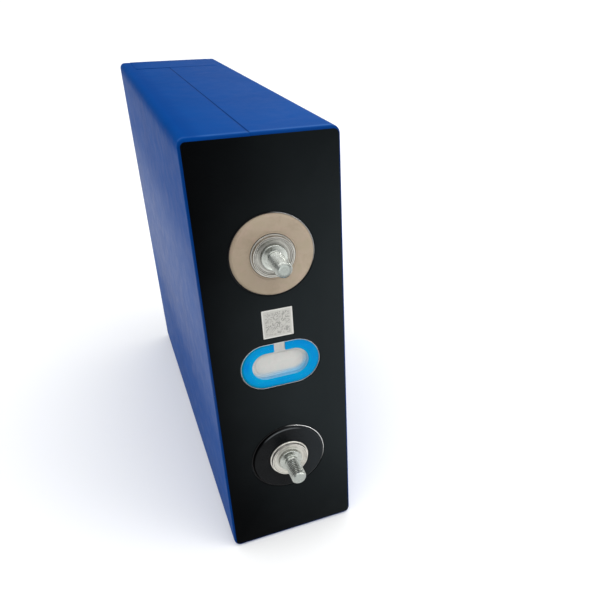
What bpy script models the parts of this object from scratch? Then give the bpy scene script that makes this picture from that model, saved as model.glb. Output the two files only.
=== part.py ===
"""Prismatic lithium iron phosphate battery cell, 54 x 174 x 205 mm, with two welded M6 studs.

The cell lies on one narrow side. Its terminal face looks along -Y, its thickness is along X and
its width stands along +Z. Everything is drawn in the cell's own frame, as if the cell stood with
its terminals up: local x is the thickness, local y the width, and local z the height above the
outer face of the black lid sheet, so everything inside the cell has a negative z. The empty
"cell_axis" lays that frame down.
"""

import math

import bmesh
import bpy
from mathutils import Matrix, Vector

MM = 0.001

# ---------------------------------------------------------------- driving dimensions, millimetres
THICK = 53.85            # cell thickness over the film
WIDTH = 173.90           # cell width over the film
BODY = 204.50            # film base to the outer face of the lid sheet
STUD_OUT = 15.0          # stud tip above the lid sheet
GAP = 0.3                # clearance between neighbouring solids
SKIN_GAP = 0.1           # clearance between stacked films

FILM_T = 0.2             # insulating wrap
FILM_R = 3.0             # its outer edge radius
CAN_WALL = 0.8
CAN_BASE = 1.2
SHEET_T = 0.3            # black lid sheet
SHEET_IN = 1.0           # its edge lies this far inside the film's outer face
LID_TOP = -0.6
LID_T = 2.0

MID = WIDTH / 2
POS_Y = MID + 45.0       # positive terminal centre
NEG_Y = MID - 45.0       # negative terminal centre
WASHER_R = 14.95
WASHER_TOP = 1.0
RIM_R0, RIM_R1 = 15.15, 15.5       # raised bead of the lid round each washer
RIM_TOP = 0.05
PAD_R = 8.2
PAD_TOP = 2.5
PAD_RECESS_R = 6.3
PAD_FLOOR = 1.7
POLE_R = 4.5
LID_HOLE_R = 6.6
STUD_R = 3.0             # M6
STUD_CORE_R = 2.45
STUD_FLANGE_R = 4.8

VENT_L, VENT_W = 22.4, 11.6        # opening in the lid
VENT_FILM_L, VENT_FILM_W = 31.0, 19.1
VENT_CUT_L, VENT_CUT_W = 31.7, 19.8   # cut-out in the black sheet
NOTCH_W = 4.2            # breathing notch in the blue adhesive ring
CODE_Y = MID + 18.0      # centre of the code label
CODE_A = 11.6
FILL_Y = MID - 24.0      # filling port

CORE_T = 24.2            # one wound core
CORE_X = 12.5
CORE_Y0, CORE_Y1 = 3.2, WIDTH - 3.2
CORE_TOP, CORE_BASE = -18.0, -200.4

# ---------------------------------------------------------------- scene
for ob in list(bpy.data.objects):
    bpy.data.objects.remove(ob, do_unlink=True)

parts = bpy.data.collections.new("prismatic_battery_cell")
cutters = bpy.data.collections.new("cutters")
bpy.context.scene.collection.children.link(parts)
bpy.context.scene.collection.children.link(cutters)

axis = bpy.data.objects.new("cell_axis", None)
axis.location = (0, (-(BODY + STUD_OUT) / 2 + STUD_OUT) * MM, 0)
axis.rotation_euler = (math.radians(90), 0, 0)
parts.objects.link(axis)


def material(name, colour, rough, metal=0.0):
    mat = bpy.data.materials.new(name)
    mat.use_nodes = True
    bsdf = mat.node_tree.nodes["Principled BSDF"]
    bsdf.inputs["Base Color"].default_value = (*colour, 1)
    bsdf.inputs["Roughness"].default_value = rough
    bsdf.inputs["Metallic"].default_value = metal
    mat.diffuse_color = (*colour, 1)
    return mat


def place(ob, mat, where=(0, 0, 0), cutter=False):
    """Puts an object in its collection, under the cell's axis, at a local position in mm."""
    for c in list(ob.users_collection):
        c.objects.unlink(ob)
    (cutters if cutter else parts).objects.link(ob)
    ob.parent = axis
    ob.location = Vector(where) * MM
    if mat:
        ob.data.materials.clear()
        ob.data.materials.append(mat)
    if cutter:
        ob.hide_render = True
        ob.display_type = "WIRE"
    return ob


def smooth(ob, angle=35):
    ob.data.shade_smooth()
    ob.data.set_sharp_from_angle(angle=math.radians(angle))


# ---------------------------------------------------------------- outlines
def arc(cx, cy, r, a0, a1, n):
    return [(cx + r * math.cos(math.radians(a0 + (a1 - a0) * i / n)),
             cy + r * math.sin(math.radians(a0 + (a1 - a0) * i / n))) for i in range(n + 1)]


def rounded_rect(x0, x1, y0, y1, r, n=4):
    return (arc(x1 - r, y0 + r, r, -90, 0, n) + arc(x1 - r, y1 - r, r, 0, 90, n)
            + arc(x0 + r, y1 - r, r, 90, 180, n) + arc(x0 + r, y0 + r, r, 180, 270, n))


def circle(cx, cy, r, n=32):
    return arc(cx, cy, r, 0, 360, n)[:-1]


def stadium(cx, cy, length, width, n=10):
    """Oval with straight sides along x."""
    r = width / 2
    h = length / 2 - r
    return arc(cx + h, cy, r, -90, 90, n) + arc(cx - h, cy, r, 90, 270, n)


def upright_stadium(cx, y0, y1, width, n=8):
    """Oval with straight sides along y."""
    r = width / 2
    return arc(cx, y1 - r, r, 0, 180, n) + arc(cx, y0 + r, r, 180, 360, n)


def plate(name, loops, z0, z1, mat, where=(0, 0, 0)):
    """A flat piece: filled 2D curve, its first loop the outline and the rest holes."""
    cu = bpy.data.curves.new(name, "CURVE")
    cu.dimensions = "2D"
    cu.fill_mode = "BOTH"
    cu.extrude = (z1 - z0) / 2 * MM
    for loop in loops:
        sp = cu.splines.new("POLY")
        sp.points.add(len(loop) - 1)
        for p, (x, y) in zip(sp.points, loop):
            p.co = (x * MM, y * MM, 0, 1)
        sp.use_cyclic_u = True
    ob = bpy.data.objects.new(name, cu)
    return place(ob, mat, (where[0], where[1], where[2] + (z0 + z1) / 2))


def as_mesh(curve_ob, cutter=False):
    """A flat curve piece turned into a welded mesh, so that a Boolean can use it."""
    bpy.context.view_layer.update()
    dg = bpy.context.evaluated_depsgraph_get()
    me = bpy.data.meshes.new_from_object(curve_ob.evaluated_get(dg))
    bm = bmesh.new()
    bm.from_mesh(me)
    bmesh.ops.remove_doubles(bm, verts=bm.verts, dist=0.00001)
    bmesh.ops.recalc_face_normals(bm, faces=bm.faces)
    bm.to_mesh(me)
    bm.free()
    name = curve_ob.name
    world = curve_ob.matrix_world.copy()
    where = Vector(curve_ob.location) / MM
    mat = curve_ob.data.materials[0] if curve_ob.data.materials else None
    bpy.data.objects.remove(curve_ob, do_unlink=True)
    ob = bpy.data.objects.new(name, me)
    place(ob, mat, where, cutter)
    bpy.context.view_layer.update()
    ob.matrix_world = world
    return ob


def cut(ob, *tools, operation="DIFFERENCE"):
    for t in tools:
        m = ob.modifiers.new(operation.lower() + "_" + t.name, "BOOLEAN")
        m.operation = operation
        m.solver = "EXACT"
        m.object = t


# ---------------------------------------------------------------- boxes
def rounded_box(name, x, y, z, radius, mat, segments=4, open_top=False, cutter=False):
    """A cube whose four upright edges and base edges are rounded; its top edges stay sharp."""
    bpy.ops.mesh.primitive_cube_add(size=1)
    ob = bpy.context.object
    ob.name = ob.data.name = name
    size = Vector((x[1] - x[0], y[1] - y[0], z[1] - z[0])) * MM
    ob.data.transform(Matrix.Diagonal((*size, 1)))
    place(ob, mat, ((x[0] + x[1]) / 2, (y[0] + y[1]) / 2, (z[0] + z[1]) / 2), cutter)
    bm = bmesh.new()
    bm.from_mesh(ob.data)
    weight = bm.edges.layers.float.new("bevel_weight_edge")
    top = size.z / 2 - 1e-6
    for e in bm.edges:
        e[weight] = 0.0 if all(v.co.z > top for v in e.verts) else 1.0
    if open_top:
        lid = [f for f in bm.faces if all(v.co.z > top for v in f.verts)]
        bmesh.ops.delete(bm, geom=lid, context="FACES_ONLY")
    bm.to_mesh(ob.data)
    bm.free()
    b = ob.modifiers.new("edges", "BEVEL")
    b.limit_method = "WEIGHT"
    b.width = radius * MM
    b.segments = segments
    return ob


def skin(ob, thickness):
    s = ob.modifiers.new("skin", "SOLIDIFY")
    s.thickness = thickness * MM
    s.offset = -1
    s.use_even_offset = True
    return ob


# ---------------------------------------------------------------- turned pieces
def turned(name, profile, mat, where, steps=32, cutter=False):
    """A profile of (radius, height) points, down the outer side and back up the bore."""
    ring = all(r > 0 for r, _ in profile)
    me = bpy.data.meshes.new(name)
    verts = [(r * MM, 0, h * MM) for r, h in profile]
    n = len(verts)
    edges = [(i, i + 1) for i in range(n - 1)] + ([(n - 1, 0)] if ring else [])
    me.from_pydata(verts, edges, [])
    ob = bpy.data.objects.new(name, me)
    place(ob, mat, where, cutter)
    s = ob.modifiers.new("turn", "SCREW")
    s.steps = s.render_steps = steps
    s.use_merge_vertices = True
    s.merge_threshold = 0.00001
    s.use_smooth_shade = True
    return ob


# ---------------------------------------------------------------- strips
def strip(name, points, y0, y1, thickness, mat, where=(0, 0, 0)):
    """A bent foil: a polyline in x and z, swept along y and thickened."""
    bm = bmesh.new()
    rows = [[bm.verts.new((x * MM, y * MM, z * MM)) for x, z in points] for y in (y0, y1)]
    for i in range(len(points) - 1):
        bm.faces.new((rows[0][i], rows[0][i + 1], rows[1][i + 1], rows[1][i]))
    me = bpy.data.meshes.new(name)
    bm.to_mesh(me)
    bm.free()
    ob = bpy.data.objects.new(name, me)
    place(ob, mat, where)
    s = ob.modifiers.new("foil", "SOLIDIFY")
    s.thickness = thickness * MM
    s.offset = 0
    return ob


# ---------------------------------------------------------------- materials
M = {
    "wrap_film": material("blue_pet_film", (0.008, 0.075, 0.36), 0.38),
    "top_sheet": material("black_lid_sheet", (0.012, 0.013, 0.014), 0.5),
    "code_label": material("label_foil", (0.62, 0.61, 0.57), 0.5, 0.3),
    "vent_film": material("clear_vent_film", (0.85, 0.88, 0.9), 0.12),
    "vent_ring": material("blue_adhesive", (0.0, 0.31, 0.78), 0.3),
    "aluminium": material("aluminium", (0.82, 0.82, 0.80), 0.3, 1.0),
    "can": material("drawn_aluminium", (0.78, 0.78, 0.78), 0.4, 1.0),
    "positive_washer": material("beige_pps", (0.42, 0.35, 0.27), 0.55),
    "negative_washer": material("black_pps", (0.015, 0.015, 0.017), 0.45),
    "steel": material("plated_stud", (0.72, 0.73, 0.72), 0.25, 1.0),
    "copper": material("copper", (0.86, 0.44, 0.28), 0.3, 1.0),
    "rubber": material("fluororubber", (0.03, 0.03, 0.03), 0.7),
    "polypropylene": material("black_polypropylene", (0.03, 0.03, 0.03), 0.55),
    "core": material("wound_electrodes", (0.07, 0.07, 0.08), 0.6),
    "tape": material("green_tape", (0.05, 0.35, 0.16), 0.4),
    "bag": material("clear_polyester", (0.55, 0.6, 0.65), 0.3),
}

# ---------------------------------------------------------------- casing
half = THICK / 2
film = rounded_box("wrap_film", (-half, half), (0, WIDTH), (-BODY, -0.02), FILM_R,
                   M["wrap_film"], segments=5, open_top=True)
skin(film, FILM_T)

inset = FILM_T + GAP
cx, cy0, cy1 = half - inset, inset, WIDTH - inset
can = rounded_box("can", (-cx, cx), (cy0, cy1), (-BODY + inset, LID_TOP), FILM_R - inset,
                  M["can"])
hollow = rounded_box("can_hollow", (-cx + CAN_WALL, cx - CAN_WALL),
                     (cy0 + CAN_WALL, cy1 - CAN_WALL),
                     (-BODY + inset + CAN_BASE, 5), FILM_R - inset - CAN_WALL, None, cutter=True)
cut(can, hollow)

# Lid: pressed plate with terminal holes, vent opening, filling port and two raised beads.
lx, ly0, ly1 = cx - CAN_WALL - 0.2, cy0 + CAN_WALL + 0.2, cy1 - CAN_WALL - 0.2
lid = as_mesh(plate("lid_plate",
                    [rounded_rect(-lx, lx, ly0, ly1, FILM_R - inset - CAN_WALL - 0.2),
                     circle(0, POS_Y, LID_HOLE_R), circle(0, NEG_Y, LID_HOLE_R),
                     stadium(0, MID, VENT_L, VENT_W), circle(0, FILL_Y, 1.6, 16)],
                    LID_TOP - LID_T, LID_TOP, M["aluminium"]))
seat = as_mesh(plate("vent_seat", [stadium(0, MID, VENT_L + 3.0, VENT_W + 3.0)],
                     LID_TOP - LID_T - 1, LID_TOP - LID_T + 0.9, None), cutter=True)
port = as_mesh(plate("port_counterbore", [circle(0, FILL_Y, 3.9, 24)],
                     LID_TOP - 0.65, LID_TOP + 1, None), cutter=True)
beads = [turned(side + "_bead", [(RIM_R1 - 0.08, RIM_TOP), (RIM_R1, RIM_TOP - 0.08),
                                 (RIM_R1, LID_TOP - 0.4), (RIM_R0, LID_TOP - 0.4),
                                 (RIM_R0, RIM_TOP - 0.08), (RIM_R0 + 0.08, RIM_TOP)],
                None, (0, y, 0), 48, cutter=True)
         for side, y in (("positive", POS_Y), ("negative", NEG_Y))]
cut(lid, seat, port)
cut(lid, *beads, operation="UNION")

sheet_x = half - SHEET_IN
plate("top_sheet",
      [rounded_rect(-sheet_x, sheet_x, SHEET_IN, WIDTH - SHEET_IN, 2.4, 6),
       circle(0, POS_Y, RIM_R1 + 0.2, 48), circle(0, NEG_Y, RIM_R1 + 0.2, 48),
       stadium(0, MID, VENT_CUT_L, VENT_CUT_W, 14),
       rounded_rect(-CODE_A / 2 - 0.15, CODE_A / 2 + 0.15,
                    CODE_Y - CODE_A / 2 - 0.15, CODE_Y + CODE_A / 2 + 0.15, 0.2, 2)],
      -SHEET_T, 0, M["top_sheet"])
plate("code_label",
      [rounded_rect(-CODE_A / 2, CODE_A / 2, CODE_Y - CODE_A / 2, CODE_Y + CODE_A / 2, 0.15, 2)],
      -0.3, -0.1, M["code_label"])

# ---------------------------------------------------------------- vent and filling port
vent = as_mesh(plate("vent_disc", [stadium(0, MID, VENT_L + 2.4, VENT_W + 2.4)],
                     -2.5, -1.9, M["aluminium"]))
thin = as_mesh(plate("vent_thinning", [stadium(0, MID, VENT_L - 1.6, VENT_W - 1.6)],
                     -2.2, -1, None), cutter=True)
cut(vent, thin)


def notched_ring(length, width, inner_l, inner_w, notch, n=12):
    """Outline of the adhesive ring: an oval ring, open at a notch on its +y side."""
    outer = stadium(0, MID, length, width, n)
    inner = stadium(0, MID, inner_l, inner_w, n)[::-1]
    top_o = [(notch / 2, MID + width / 2), (-notch / 2, MID + width / 2)]
    top_i = [(-notch / 2, MID + inner_w / 2), (notch / 2, MID + inner_w / 2)]
    # outer runs from the lower right round the right end to the upper right, then the left end
    right_o, left_o = outer[:n + 1], outer[n + 1:]
    left_i, right_i = inner[:n + 1], inner[n + 1:]
    return ([top_o[1]] + left_o + right_o + [top_o[0]]
            + [top_i[1]] + right_i + left_i + [top_i[0]])


plate("vent_adhesive_ring",
      [notched_ring(VENT_FILM_L - 0.5, VENT_FILM_W - 0.5, VENT_L - 0.2, VENT_W - 0.2, NOTCH_W)],
      LID_TOP + SKIN_GAP, LID_TOP + SKIN_GAP + 0.12, M["vent_ring"])
plate("vent_film", [stadium(0, MID, VENT_FILM_L, VENT_FILM_W, 12)],
      LID_TOP + 2 * SKIN_GAP + 0.12, LID_TOP + 2 * SKIN_GAP + 0.27, M["vent_film"])
turned("fill_plug", [(0, -1.5), (1.3, -1.5), (1.3, -3.6), (1.0, -3.9), (0, -3.9)],
       M["rubber"], (0, FILL_Y, 0), 16)
turned("fill_cap", [(0, -0.75), (3.4, -0.75), (3.6, -0.85), (3.6, -1.1), (0, -1.1)],
       M["aluminium"], (0, FILL_Y, 0), 24)

# ---------------------------------------------------------------- terminals
PAD_BASE = 0.35          # the pad sits in a recess in the washer
washer = [(WASHER_R - 0.9, WASHER_TOP), (WASHER_R - 0.35, WASHER_TOP - 0.15),
          (WASHER_R, WASHER_TOP - 0.6), (WASHER_R, -0.3),
          (LID_HOLE_R - 0.3, -0.3), (LID_HOLE_R - 0.3, -1.1),
          (POLE_R + 0.3, -1.1), (POLE_R + 0.3, PAD_BASE - GAP), (PAD_R + 0.2, PAD_BASE - GAP),
          (PAD_R + 0.2, WASHER_TOP - 0.1), (PAD_R + 0.3, WASHER_TOP)]
pad = [(PAD_R - 0.35, PAD_TOP), (PAD_R, PAD_TOP - 0.35), (PAD_R, PAD_BASE),
       (POLE_R + 0.2, PAD_BASE), (POLE_R + 0.2, PAD_FLOOR), (PAD_RECESS_R - 0.25, PAD_FLOOR),
       (PAD_RECESS_R, PAD_FLOOR + 0.25), (PAD_RECESS_R, PAD_TOP)]
stud = [(0, STUD_OUT), (STUD_R - 0.75, STUD_OUT), (STUD_R, STUD_OUT - 0.75), (STUD_R, 4.4),
        (STUD_CORE_R, 4.0), (STUD_CORE_R + 0.15, 3.4), (STUD_FLANGE_R - 0.4, 3.3),
        (STUD_FLANGE_R, 2.95), (STUD_FLANGE_R, 2.0), (0, 2.0)]
pole = [(0, 1.6), (POLE_R - 0.3, 1.6), (POLE_R, 1.3), (POLE_R, -4.7), (7.6, -4.7), (8.0, -5.1),
        (8.0, -6.2), (3.0, -6.2), (3.0, -7.9), (0, -7.9)]
seal = [(LID_HOLE_R - 0.3, -1.45), (LID_HOLE_R - 0.3, -2.75), (7.0, -2.75), (7.0, -4.4),
        (POLE_R + 0.25, -4.4), (POLE_R + 0.25, -1.45)]
for side, y, tone, metal in (("positive", POS_Y, "positive_washer", "aluminium"),
                             ("negative", NEG_Y, "negative_washer", "copper")):
    at = (0, y, 0)
    turned(side + "_washer", washer, M[tone], at, 40)
    turned(side + "_terminal_pad", pad, M["aluminium"], at, 32)
    turned(side + "_stud", stud, M["steel"], at, 24)
    turned(side + "_pole", pole, M[metal], at, 24)
    turned(side + "_seal_ring", seal, M["rubber"], at, 24)
    y0, y1 = (MID + 17.2, ly1 - 0.4) if side == "positive" else (ly0 + 0.4, MID - 17.2)
    holes = [circle(0, y, 7.3, 24)]
    if side == "negative":
        holes.append(circle(0, FILL_Y, 2.0, 12))
    plate(side + "_inner_insulator", [rounded_rect(-lx + 0.4, lx - 0.4, y0, y1, 1.0, 2)] + holes,
          -4.4, -2.9, M["polypropylene"])
    plate(side + "_collector", [rounded_rect(-22, 22, y - 20, y + 20, 3.0, 3),
                                circle(0, y, 3.3, 16)],
          -8.0, -6.5, M[metal])
    for s, hand in ((-1, "left"), (1, "right")):
        bend = [(s * 5.5, -8.65), (s * 17.5, -8.65), (s * 18.7, -8.95), (s * 19.5, -9.8),
                (s * 19.7, -10.9), (s * 19.7, -17.7)]
        strip(f"{side}_tab_foil_{hand}", bend if s < 0 else bend[::-1], y - 17, y + 17, 0.6,
              M[metal])

# Guard under the vent: a grille between the two inner insulators.
slots = [upright_stadium(x, MID - 5.4, MID + 5.4, 2.2, 5) for x in (-8, -4, 0, 4, 8)]
plate("vent_guard", [rounded_rect(-lx + 0.4, lx - 0.4, MID - 16.9, MID + 16.9, 1.0, 2)] + slots,
      -4.4, -2.9, M["polypropylene"])

# ---------------------------------------------------------------- inside the can
for name, x in (("wound_core_left", -CORE_X), ("wound_core_right", CORE_X)):
    plate(name, [upright_stadium(x, CORE_Y0, CORE_Y1, CORE_T, 12),
                 upright_stadium(x, CORE_Y0 + 12.2, CORE_Y1 - 12.2, 0.8, 4)],
          CORE_BASE, CORE_TOP, M["core"])

tape_x = CORE_X + CORE_T / 2 + 0.15
for hand, x0, x1 in (("left", -tape_x - 0.1, -tape_x), ("right", tape_x, tape_x + 0.1)):
    plate("stop_tape_" + hand, [rounded_rect(x0, x1, MID - 60, MID + 60, 0.02, 1)],
          -140, -110, M["tape"])

bx = cx - CAN_WALL - 0.3
bag = rounded_box("core_bag", (-bx, bx), (cy0 + CAN_WALL + 0.3, cy1 - CAN_WALL - 0.3),
                  (-201.0, -12.0), 1.4, M["bag"], segments=3, open_top=True)
skin(bag, 0.15)

spacer_holes = [circle(x, y, 3.0, 12) for x in (-13, 13) for y in (MID - 60, MID, MID + 60)]
plate("base_spacer", [rounded_rect(-lx + 1, lx - 1, ly0 + 1, ly1 - 1, 1.2, 2)] + spacer_holes,
      -202.5, -201.3, M["polypropylene"])

for ob in parts.objects:
    if ob.type == "MESH":
        smooth(ob)
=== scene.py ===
import math

import bmesh
import bpy
from mathutils import Matrix, Vector, noise


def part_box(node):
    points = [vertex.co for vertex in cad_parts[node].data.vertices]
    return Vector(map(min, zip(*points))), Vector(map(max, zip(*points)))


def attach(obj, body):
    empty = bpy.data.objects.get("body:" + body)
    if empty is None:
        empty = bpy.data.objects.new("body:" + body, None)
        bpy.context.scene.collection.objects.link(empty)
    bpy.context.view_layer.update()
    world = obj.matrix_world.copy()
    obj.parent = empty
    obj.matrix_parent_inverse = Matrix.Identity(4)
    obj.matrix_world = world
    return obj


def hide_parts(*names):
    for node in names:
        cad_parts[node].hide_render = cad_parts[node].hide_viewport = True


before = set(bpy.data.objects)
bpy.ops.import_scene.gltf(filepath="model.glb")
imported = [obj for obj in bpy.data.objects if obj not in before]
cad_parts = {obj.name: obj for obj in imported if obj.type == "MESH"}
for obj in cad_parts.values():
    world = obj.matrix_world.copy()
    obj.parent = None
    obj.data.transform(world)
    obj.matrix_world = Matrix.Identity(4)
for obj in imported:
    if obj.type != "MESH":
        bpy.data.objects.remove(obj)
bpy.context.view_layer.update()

MM = 0.001
BODY = "root"

# ------------------------------------------------------------------ places, all from the frame
SHEET_LO, SHEET_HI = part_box("top_sheet")
FILM_LO, FILM_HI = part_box("wrap_film")
Y0 = SHEET_LO.y / MM                      # outer face of the black sheet; s is the height above it
HALF = FILM_HI.x / MM
WIDTH = FILM_HI.z / MM
DEPTH = (FILM_HI.y - SHEET_LO.y) / MM     # film base to sheet face


def centre_of(node):
    lo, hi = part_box(node)
    return Vector(((lo.x + hi.x) / 2, (lo.y + hi.y) / 2, (lo.z + hi.z) / 2)) / MM


def s_span(node):
    """Lowest and highest height above the sheet's face, in mm."""
    lo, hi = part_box(node)
    return Y0 - hi.y / MM, Y0 - lo.y / MM


POS = centre_of("positive_washer")
NEG = centre_of("negative_washer")
VENT = centre_of("vent_film")
LABEL = centre_of("code_label")
FILL = centre_of("fill_cap")


def at(x, z, s):
    """World point, in metres, of a point given in mm across, up and above the sheet's face."""
    return Vector((x, Y0 - s, z)) * MM


# ------------------------------------------------------------------ mesh helpers
def make(name, verts, faces, mats=(), face_mats=None, angle=30, fix=True, weld=0.0):
    me = bpy.data.meshes.new(name)
    me.from_pydata([tuple(v) for v in verts], [], faces)
    for m in mats:
        me.materials.append(m)
    if face_mats:
        me.polygons.foreach_set("material_index", face_mats)
    if fix or weld:
        bm = bmesh.new()
        bm.from_mesh(me)
        if weld:
            bmesh.ops.remove_doubles(bm, verts=bm.verts, dist=weld)
        if fix:
            bmesh.ops.recalc_face_normals(bm, faces=bm.faces)
        bm.to_mesh(me)
        bm.free()
    me.shade_smooth()
    me.set_sharp_from_angle(angle=math.radians(angle))
    ob = bpy.data.objects.new(name, me)
    bpy.context.scene.collection.objects.link(ob)
    return ob


def seat(ob, slot, *nodes):
    """The piece rides on the cell's body and stands for CAD nodes. The slot is not used."""
    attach(ob, BODY)
    if nodes:
        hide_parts(*nodes)
    return ob


def filleted(points, n=5):
    """A polyline whose corners (x, y, radius) are turned into arcs of n segments."""
    out = []
    m = len(points)
    for i, (x, y, r) in enumerate(points):
        p = Vector((x, y))
        if r <= 0 or i in (0, m - 1):
            out.append((x, y))
            continue
        a = Vector(points[i - 1][:2])
        b = Vector(points[i + 1][:2])
        u, v = (a - p).normalized(), (b - p).normalized()
        ang = u.angle(v)
        t = min(r / math.tan(ang / 2), (a - p).length * 0.49, (b - p).length * 0.49)
        r2 = t * math.tan(ang / 2)
        c = p + (u + v).normalized() * (r2 / math.sin(ang / 2))
        s0, s1 = p + u * t - c, p + v * t - c
        a0 = math.atan2(s0.y, s0.x)
        da = math.atan2(s1.y, s1.x) - a0
        da = (da + math.pi) % (2 * math.pi) - math.pi
        for k in range(n + 1):
            th = a0 + da * k / n
            out.append((c.x + r2 * math.cos(th), c.y + r2 * math.sin(th)))
    return out


def lathe(name, profile, centre, mats, segs=96, ring=False, angle=30, pick=None):
    """Turns a (radius, height) profile about the terminal axis. A profile on the axis closes itself."""
    verts, rings = [], []
    for r, s in profile:
        if r < 1e-6:
            rings.append([len(verts)])
            verts.append(at(centre.x, centre.z, s))
        else:
            rings.append(list(range(len(verts), len(verts) + segs)))
            for k in range(segs):
                a = 2 * math.pi * k / segs
                verts.append(at(centre.x + r * math.cos(a), centre.z + r * math.sin(a), s))
    faces, fm = [], []
    pairs = list(zip(rings, rings[1:]))
    if ring:
        pairs.append((rings[-1], rings[0]))
    for i, (p, q) in enumerate(pairs):
        j = pick(i) if pick else 0
        for k in range(segs):
            l = (k + 1) % segs
            if len(p) == 1 and len(q) == 1:
                continue
            if len(p) == 1:
                faces.append((p[0], q[l], q[k]))
            elif len(q) == 1:
                faces.append((p[k], p[l], q[0]))
            else:
                faces.append((p[k], p[l], q[l], q[k]))
            fm.append(j)
    return make(name, verts, faces, mats, fm, angle)


def circle(cx, cy, r, n):
    return [(cx + r * math.cos(2 * math.pi * k / n), cy + r * math.sin(2 * math.pi * k / n))
            for k in range(n)]


def rounded(x0, x1, y0, y1, r, n=8):
    out = []
    for cx, cy, a0 in ((x1 - r, y0 + r, -90), (x1 - r, y1 - r, 0), (x0 + r, y1 - r, 90),
                       (x0 + r, y0 + r, 180)):
        out += [(cx + r * math.cos(math.radians(a0 + 90 * k / n)),
                 cy + r * math.sin(math.radians(a0 + 90 * k / n))) for k in range(n + 1)]
    return out


def oval(cx, cy, length, width, n=32):
    r, h = width / 2, (length - width) / 2
    return ([(cx + h + r * math.cos(math.radians(-90 + 180 * k / n)),
              cy + r * math.sin(math.radians(-90 + 180 * k / n))) for k in range(n + 1)]
            + [(cx - h + r * math.cos(math.radians(90 + 180 * k / n)),
                cy + r * math.sin(math.radians(90 + 180 * k / n))) for k in range(n + 1)])


def area_of(loop):
    return sum(a[0] * b[1] - b[0] * a[1] for a, b in zip(loop, loop[1:] + loop[:1])) / 2


def inset(loop, d):
    """Moves a loop inwards by d along its corner normals."""
    sign = 1 if area_of(loop) > 0 else -1
    out, n = [], len(loop)
    for i in range(n):
        p = Vector(loop[i])
        j, k = i - 1, (i + 1) % n
        while (Vector(loop[j]) - p).length < 1e-7:
            j -= 1
        while (Vector(loop[k]) - p).length < 1e-7:
            k = (k + 1) % n
        u, v = (p - Vector(loop[j])).normalized(), (Vector(loop[k]) - p).normalized()
        nu, nv = Vector((-u.y, u.x)) * sign, Vector((-v.y, v.x)) * sign
        m = nu + nv
        if m.length < 1e-6:
            m = nu
        m.normalize()
        out.append(tuple(p + m * (d / max(0.35, m.dot(nu)))))
    return out


def sheet(name, outline, holes, s0, s1, mats, edge=0.08, steps=3, angle=30):
    """A flat piece with holes, whose front edges are rounded all round, built loop by loop."""
    verts, faces = [], []
    layers = [(0.0, s0)] + [(edge * (1 - math.cos(math.pi / 2 * k / steps)),
                             s1 - edge + edge * math.sin(math.pi / 2 * k / steps))
                            for k in range(steps + 1)]
    front_edges, back_edges = [], []
    for li, loop in enumerate([outline] + list(holes)):
        rows = []
        for d, s in layers:
            pts = inset(loop, d if li == 0 else -d) if d > 0 else loop
            rows.append(list(range(len(verts), len(verts) + len(pts))))
            verts += [at(x, z, s) for x, z in pts]
        n = len(loop)
        for a, b in zip(rows, rows[1:]):
            for k in range(n):
                l = (k + 1) % n
                faces.append((a[k], a[l], b[l], b[k]))
        front_edges.append(rows[-1])
        back_edges.append(rows[0])
    me = bpy.data.meshes.new(name)
    me.from_pydata([tuple(v) for v in verts], [], faces)
    bm = bmesh.new()
    bm.from_mesh(me)
    bm.verts.ensure_lookup_table()
    for group in (front_edges, back_edges):
        es = []
        for loop in group:
            for k in range(len(loop)):
                e = bm.edges.get((bm.verts[loop[k]], bm.verts[loop[(k + 1) % len(loop)]]))
                if e:
                    es.append(e)
        bmesh.ops.triangle_fill(bm, edges=es, use_beauty=True, use_dissolve=False)
    bmesh.ops.recalc_face_normals(bm, faces=bm.faces)
    bm.to_mesh(me)
    bm.free()
    for m in mats:
        me.materials.append(m)
    me.shade_smooth()
    me.set_sharp_from_angle(angle=math.radians(angle))
    ob = bpy.data.objects.new(name, me)
    bpy.context.scene.collection.objects.link(ob)
    return ob


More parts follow.
